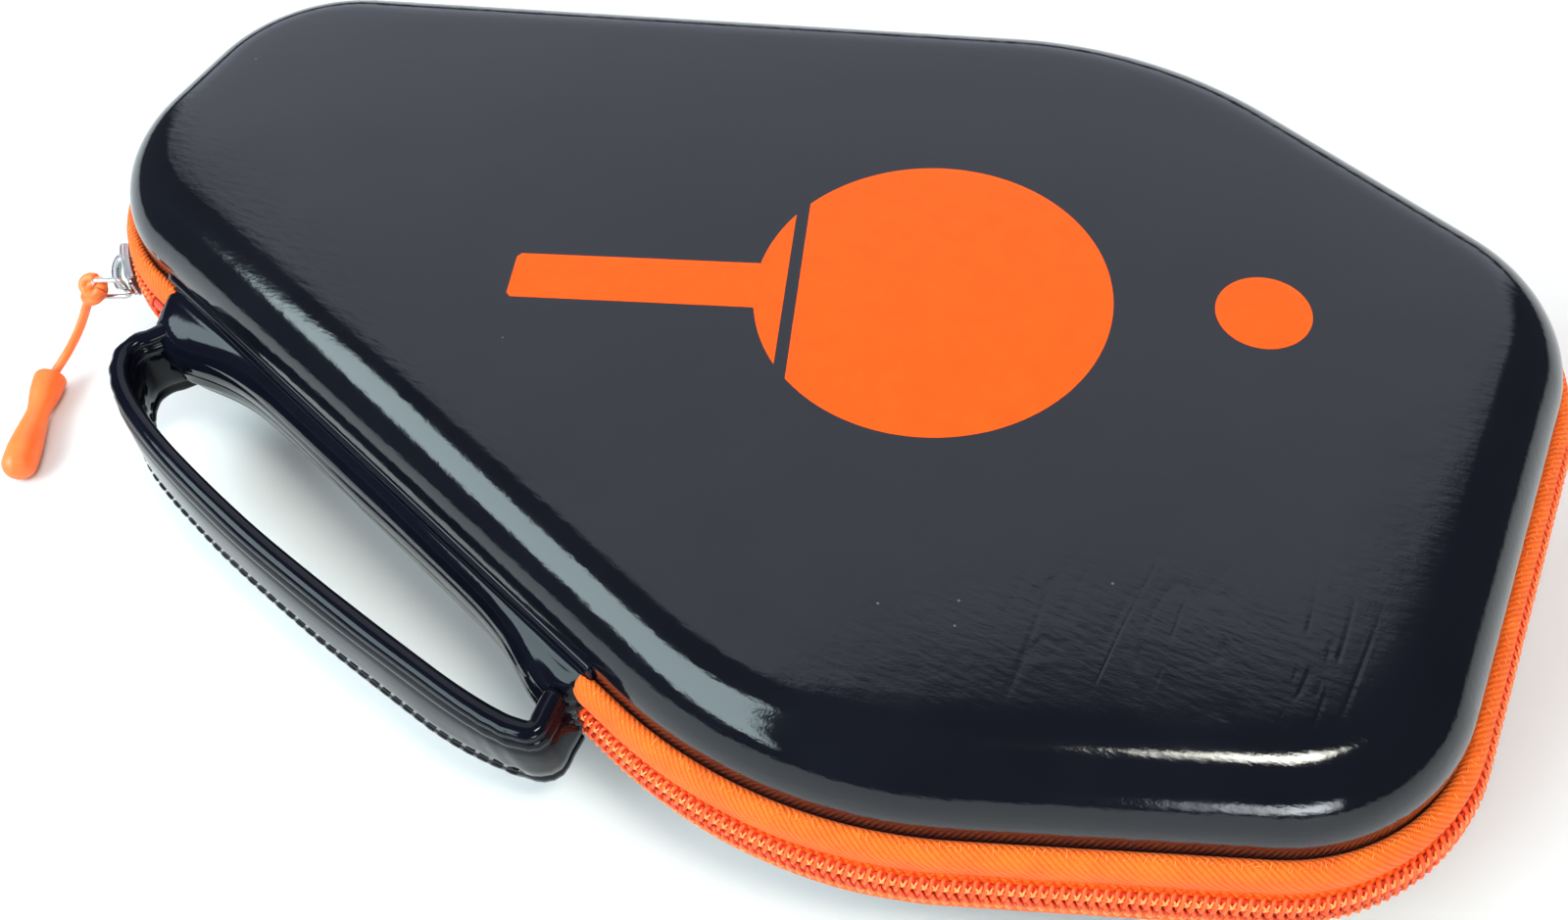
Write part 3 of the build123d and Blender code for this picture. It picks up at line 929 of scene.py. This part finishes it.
def spine_rows(is_lid):
    """Closed rows of one half of the spine."""
    flip = 1 if is_lid else -1
    inner = [(-5.0, spine_wall_height * k / 8) for k in range(8, -1, -1)]
    return [
        [edge_point(distance, out, height * flip) for out, height in spine_section(distance) + inner]
        for distance in spaced(spine_start - spine_overhang, spine_end + spine_overhang, 1.1)
    ]


for body, is_lid in HALVES:
    half = skin(f"{body}_spine_half", spine_rows(is_lid))
    dress(half, PATENT_SOFT, None, "patent_skin")
    if is_lid:
        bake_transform(half)
        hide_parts("lid_spine_flap", "spine_cover", "spine_filler", "left_handle_tab")
    else:
        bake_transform(half)
        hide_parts("base_spine_flap", "spine_lining", "right_handle_tab")


# ---- handle strap ----
strap_route = [
    (42.0, 0.6), (41.4, 4.8), (39.4, 8.6), (40.4, 13.0), (47.0, 17.2), (60.0, 19.4), (84.0, 19.8),
    (110.0, 18.2), (136.0, 15.2), (160.0, 12.0), (169.0, 8.4), (167.0, 4.8), (165.4, 0.6),
]
strap_line = even_steps(bspline([(s, o, 0) for s, o in strap_route], 400), 1.0)
strap_count = len(strap_line)
strap_tilt = 0.13           # how far the strap's foot leans out, by height

# (across, height) round the strap: rolled top edge, second roll, belly, stitched lip
strap_section = [
    (0.0, 8.2), (1.1, 8.0), (1.7, 7.45), (1.85, 6.8), (1.7, 6.2), (1.35, 5.8), (1.7, 5.4),
    (2.05, 4.8), (2.15, 4.1), (1.95, 3.4), (1.55, 3.0), (1.85, 2.5), (2.05, 1.0), (2.1, -2.0),
    (2.0, -5.0), (1.9, -7.4), (1.6, -8.0), (1.4, -8.3), (1.6, -8.7), (1.75, -9.4),
    (1.7, -10.4), (1.2, -10.9), (0.0, -11.05),
]
strap_section += [(-across, height) for across, height in strap_section[-2:0:-1]]


def strap_point(index, across, height, proud=0.0):
    """Point of the strap's surface, with its wrinkles. proud lifts it off the surface."""
    ahead = strap_line[min(index + 2, strap_count - 1)] - strap_line[max(index - 2, 0)]
    ahead.normalize()
    outward = Vector((-ahead.y, ahead.x, 0))
    left_end = bump_at(index, 12, 10)
    right_end = bump_at(index, strap_count - 12, 8)
    straight = smoothstep(8, 34, min(index, strap_count - 1 - index))
    wave = 0.0
    if abs(across) > 1:
        wave = noise.noise(Vector((index / 16, height / 7, across))) * 0.12
        depth = (left_end + 0.5 * right_end) * (0.2 if across > 0 else 0.05)
        wave += depth * math.sin(index * 1.5 + height * 0.3)
    low = 1 - 0.08 * (left_end + right_end) if height < 0 else 1
    lean = (8.2 - height) * strap_tilt * (0.25 + 0.75 * straight)
    place = strap_line[index] + outward * (across + lean + wave + math.copysign(proud, across))
    return edge_point(place.x, place.y, height * low)


strap_piece = skin("handle_strap", [
    [strap_point(index, across, height) for across, height in strap_section]
    for index in range(strap_count)
])
dress(strap_piece, PATENT_SOFT, None, "patent_skin")

stitch_lines = [
    [strap_point(index + shift, across, -9.35, proud) for shift, proud in ((-1, -0.05), (0, 0.1), (1, -0.05))]
    for index in range(14, strap_count - 14, 3) for across in (1.78, -1.78)
]
strap_stitches = tubes("handle_stitches", stitch_lines, 0.2)
dress(strap_stitches, THREAD, None, "thread")
for piece in (strap_piece, strap_stitches):
    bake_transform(piece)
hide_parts("handle_core", "handle_outer_face", "handle_inner_face", "handle_edge_roll")


# ---- slider ----
def corner_point(turn, radius, height):
    """Point by its turn in degrees and radius round the narrow corner, above the zip plane."""
    return corner_centre + sky_direction(turn, 0) * radius + Vector((0, 0, zip_z + height))


def slider_plate(
    name, radius_in, radius_out, start, end, half_height_at, bevel=0.3, middle=0.0, replaced=()
):
    """Bevelled plate that follows the narrow corner. half_height_at gives its half height by share."""
    rows = []
    for share in spaced(0.0, 1.0, 0.05):
        turn = start + (end - start) * share
        low, high = middle - half_height_at(share), middle + half_height_at(share)
        rows.append([
            corner_point(turn, radius, height)
            for radius, height in ((radius_in, low), (radius_out, low), (radius_out, high), (radius_in, high))
        ])
    piece = skin(name, rows)
    rounding = piece.modifiers.new("rounding", "BEVEL")
    rounding.width = bevel * MM
    rounding.segments = 3
    rounding.limit_method = "ANGLE"
    rounding.angle_limit = math.radians(40)
    piece.modifiers.new("shading", "WEIGHTED_NORMAL")
    dress(piece, METAL, "slider", "metal", *replaced)


slider_from = slider_angle - slider_half_angle
slider_to = slider_angle + slider_half_angle


def plate_outline(share):
    """Shoulders at the leading end, drawn in to a narrower tail with rounded corners."""
    to_end = max(0.0, abs(share - 0.5) * 2 - 0.75)
    end_round = math.sqrt(max(0.0, 1 - to_end**2 / 0.07))
    return (3.25 - 0.75 * smoothstep(0.25, 0.8, share)) * (0.55 + 0.45 * end_round)


slider_plate(
    "slider_front", 42.2, 43.35, slider_from, slider_to, plate_outline, replaced=["slider_body"]
)
slider_plate("slider_inner", 37.3, 38.2, slider_from, slider_to, plate_outline)
slider_plate("slider_post", 38.0, 42.4, slider_from + 0.2, slider_from + 3.6, lambda share: 0.12, 0.04)
for edge, middle in (("lower", -2.72), ("upper", 2.72)):
    slider_plate(
        f"slider_flange_{edge}", 41.4, 42.6, slider_from + 1, slider_to - 1,
        lambda share: 0.28, 0.12, middle,
    )

crown_line = []
for share in spaced(0.0, 1.0, 0.06):
    turn = slider_from + 2 + (crown_angle + 2.6 - slider_from - 2) * share
    lift = 2.4 * math.sin(math.pi * share) ** 0.35 if 0 < share < 1 else 0.0
    crown_line.append(corner_point(turn, 43.15 + lift, 0.0))
crown = tubes("slider_bridge", [crown_line], 0.55, 10, 2.0)
dress(crown, METAL, "slider", "metal", "slider_crown")
pull_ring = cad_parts["pull_ring"]
dress(pull_ring, METAL, None, "metal")
for polygon in pull_ring.data.polygons:
    polygon.use_smooth = True


# ---- elastic strap, net pocket ----
def half_width(x, inset):
    """Half width of the outline moved in by inset, at a place along X."""
    near = [p.y for p in (rim.point(sample, -inset, 0) for sample in rim_samples) if abs(p.x - x) < 1.2]
    return max([0.0] + near)


elastic_z = 19.9
elastic_from = -72.0
elastic_to = -48.0
across_shares = spaced(-1, 1, 0.025)
elastic_rows = []
for x in spaced(elastic_from, elastic_to, 1.0):
    reach = half_width(x, 10.5)
    edge = 1 - smoothstep(0.0, 1.5, min(x - elastic_from, elastic_to - x))
    top = [
        Vector((x, y * reach, elastic_z + 0.38 - 0.25 * edge + 0.18 * noise.noise(Vector((x / 9, y * 5, 0)))))
        for y in across_shares
    ]
    bottom = [Vector((p.x, p.y, p.z - 0.8 + 0.35 * edge)) for p in top[::-1]]
    elastic_rows.append(top + bottom)
dress(skin("elastic_strap", elastic_rows), ELASTIC, "base", "elastic", "retaining_strap")
tack_lines = [
    [
        Vector((x + along, side * (half_width(x, 11.2) - back), elastic_z + height))
        for along, back, height in ((0.0, 0.0, 0.5), (0.6, 1.6, 0.62), (1.2, 3.0, 0.5))
    ]
    for side in (-1, 1) for x in [-70.4 + k * 1.22 for k in range(18)]
]
dress(tubes("strap_tack_threads", tack_lines, 0.2), THREAD, "base", "thread", "strap_bartacks")

net_z = 38.3
net_inset = 10.3
net_rows = []
for x in spaced(-18.0, 139.0, 1.6):
    reach = half_width(x, net_inset)
    net_rows.append([
        Vector((x, y * reach, net_z - 0.25 * noise.noise(Vector((x / 16, y * 4, 0))) * (1 - y**4)))
        for y in across_shares
    ])
net_points = [p for row in net_rows for p in row]
net_faces = grid_faces(len(net_rows), len(across_shares))
net = make_mesh("pocket_net", net_points, net_faces, [p.xy for p in net_points])
dress(net, NET, "lid", "mesh", "pocket_mesh")

hem_rows = []
for y in spaced(-1, 1, 0.012):
    thickness = 0.62 + 0.11 * math.sin(y * 95) + 0.06 * math.sin(y * 41 + 1)
    section = []
    for turn in [2 * math.pi * k / 16 for k in range(16)]:
        x = -20.0 + 4.0 * math.cos(turn)
        section.append(Vector((x, y * half_width(x, net_inset), net_z + thickness * math.sin(turn))))
    hem_rows.append(section)
hem = skin("pocket_hem_elastic", hem_rows)
dress(hem, ELASTIC, "lid", "elastic", "pocket_hem")


# ---- emblem: a plain bat and ball ----
def film(name, centre, boundary, rings):
    """Thin printed film on the lid, from a middle point to a boundary around it."""
    above = 0.06
    below = -0.05
    shares = [k / rings for k in range(1, rings)]
    profile = [(share, above) for share in shares + [0.99, 0.998, 1.0]]
    profile += [(share, below) for share in [1.0] + shares[::-1]]

    def film_point(edge, share, lift):
        x, y = centre.lerp(edge, share)
        return Vector((x, y, outer_height(x, y) + lift))

    rows = [[film_point(edge, share, lift) for share, lift in profile] for edge in boundary]
    return skin(name, rows, tips=[film_point(centre, 0.0, above), film_point(centre, 0.0, below)])


bat_turn = Matrix.Rotation(math.radians(20.5), 2)
blade_centre = Vector((36.0, 4.0))
blade_radius = 33.0
grip_half_width = 5.5


def on_bat(along, across):
    """Point by its place along the printed bat, from the blade's centre, and across it."""
    return blade_centre + bat_turn @ Vector((along, across))


def blade_arc(start, end, count):
    """Points of the blade's circle between two turns."""
    turns = spaced(start, end, (end - start) / count)
    return [on_bat(blade_radius * math.cos(t), blade_radius * math.sin(t)) for t in turns]


def fill_line(start, end):
    """Points about 2 mm apart from start up to, but not at, end."""
    count = max(1, round((end - start).length / 2))
    return [start.lerp(end, i / count) for i in range(count)]


# the blade ends at one chord of its circle, and the cap with the grip starts at another
blade_cut = math.acos(-24.8 / blade_radius)
cap_cut = math.acos(-27.2 / blade_radius)
blade_edge = blade_arc(-blade_cut, blade_cut, 110)
blade_edge += fill_line(blade_edge[-1], blade_edge[0])[1:]
grip_join = math.pi - math.asin(grip_half_width / blade_radius)
cap_upper = blade_arc(cap_cut, grip_join, 12)
cap_lower = blade_arc(-grip_join, -cap_cut, 12)
grip_end = ((-79.2, grip_half_width), (-80.0, 4.6), (-80.0, -4.6), (-79.2, -grip_half_width))
grip_corners = [cap_upper[-1], *[on_bat(*corner) for corner in grip_end], cap_lower[0]]
grip_edge = cap_upper[:-1]
for first, second in zip(grip_corners, grip_corners[1:]):
    grip_edge += fill_line(first, second)
grip_edge += cap_lower
grip_edge += fill_line(cap_lower[-1], cap_upper[0])[1:]
ball_centre = Vector((92.0, 24.0))
ball_edge = [
    ball_centre + Vector((math.cos(t), math.sin(t))) * 8.5
    for t in spaced(0, 2 * math.pi, 0.1, both=False)
]
dress(film("emblem_blade", on_bat(2, 0), blade_edge, 14), PRINT, "lid", "orange_print", "lid_emblem")
dress(film("emblem_grip", on_bat(-30, 0), grip_edge, 10), PRINT, "lid", "orange_print")
dress(film("emblem_ball", ball_centre, ball_edge, 6), PRINT, "lid", "orange_print")


# ---- floor, lights and world ----
floor_shader = Shader("floor", Roughness=0.75)
floor_shader.colour(floor_shader.noise(60, 3), (0.3, (0.66, 0.655, 0.65)), (0.7, (0.69, 0.685, 0.68)))
floor_reach = 3000
floor_sides = ((-1, -1), (1, -1), (1, 1), (-1, 1))
floor = make_mesh("floor", [(x * floor_reach, y * floor_reach, -0.02) for x, y in floor_sides], [(0, 1, 2, 3)])
floor.data.materials.append(floor_shader.material)

world = bpy.data.worlds.new("studio")
world.use_nodes = True
sky = world.node_tree.nodes["Background"].inputs
sky["Color"].default_value = (0.8, 0.84, 1.0, 1)
sky["Strength"].default_value = 0.1
bpy.context.scene.world = world
bpy.context.scene.view_settings.view_transform = "Standard"


def glowing_patch(name, corners, radiance, colour, soft, ragged=0.0):
    """Glowing patch of the room, by four corners as (turn, height), with soft edges."""
    low_left, low_right, high_right, high_left = [Vector(corner) for corner in corners]
    room_radius = 1600
    shares = spaced(0.0, 1.0, 0.05)
    uvs = [(u, v) for v in shares for u in shares]
    points = []
    for u, v in uvs:
        turn, height = low_left.lerp(low_right, u).lerp(high_left.lerp(high_right, u), v)
        points.append(sky_direction(turn, height) * room_radius)
    patch = make_mesh(name, points, grid_faces(len(shares), len(shares)), uvs)
    shader = Shader(name)
    parts = shader.node("SeparateXYZ")
    shader.put(parts.inputs[0], shader.uv)
    glow = None
    for axis in (0, 1):
        along = shader.math("SUBTRACT", parts.outputs[axis], 0.5)
        if ragged:
            rough = shader.noise(0.09, 3, (1.0, 0.4, 1.0), shader.uv)
            along = shader.math("ADD", along, shader.range(rough, -ragged, ragged))
        edge = shader.range(shader.math("ABSOLUTE", along), 1.0, 0.0, 0.5 - soft - ragged, 0.5 - ragged)
        glow = edge if glow is None else shader.math("MULTIPLY", glow, edge)
    lamp = shader.node("Emission")
    lamp.inputs["Color"].default_value = (*colour, 1)
    shader.put(lamp.inputs["Strength"], shader.math("MULTIPLY", glow, radiance))
    shader.put(shader.tree.nodes["Material Output"].inputs["Surface"], lamp.outputs[0])
    patch.data.materials.append(shader.material)
    patch.visible_camera = False


fill_data = bpy.data.lights.new("overhead_fill", "AREA")
fill_data.size = 3.6
fill_data.energy = 0.9 * math.pi * fill_data.size**2    # its face's brightness is 0.9
overhead_fill = add_object("overhead_fill", fill_data)
overhead_fill.visible_glossy = False
overhead = sky_direction(270, 84)
overhead_fill.location = overhead * 1.7 + Vector((0, 0, 0.03))
overhead_fill.rotation_euler = overhead.to_track_quat("Z", "Y").to_euler()
glowing_patch("back_wall", [(64, 6), (160, 6), (158, 79), (66, 64)], 1.4, (0.93, 0.96, 1.12), 0.055)
glowing_patch(
    "window", [(194, 31), (266, 12), (250, 62), (177, 47)], 9.0, (0.8, 1.0, 1.05), 0.03, 0.03
)
glowing_patch("lamp", [(320, 62), (372, 58), (370, 70), (320, 74)], 42.0, (1.0, 1.0, 0.9), 0.3)
glowing_patch("far_window", [(303, 3), (330, 5), (330, 19), (303, 17)], 18.0, (0.9, 0.96, 1.0), 0.3)
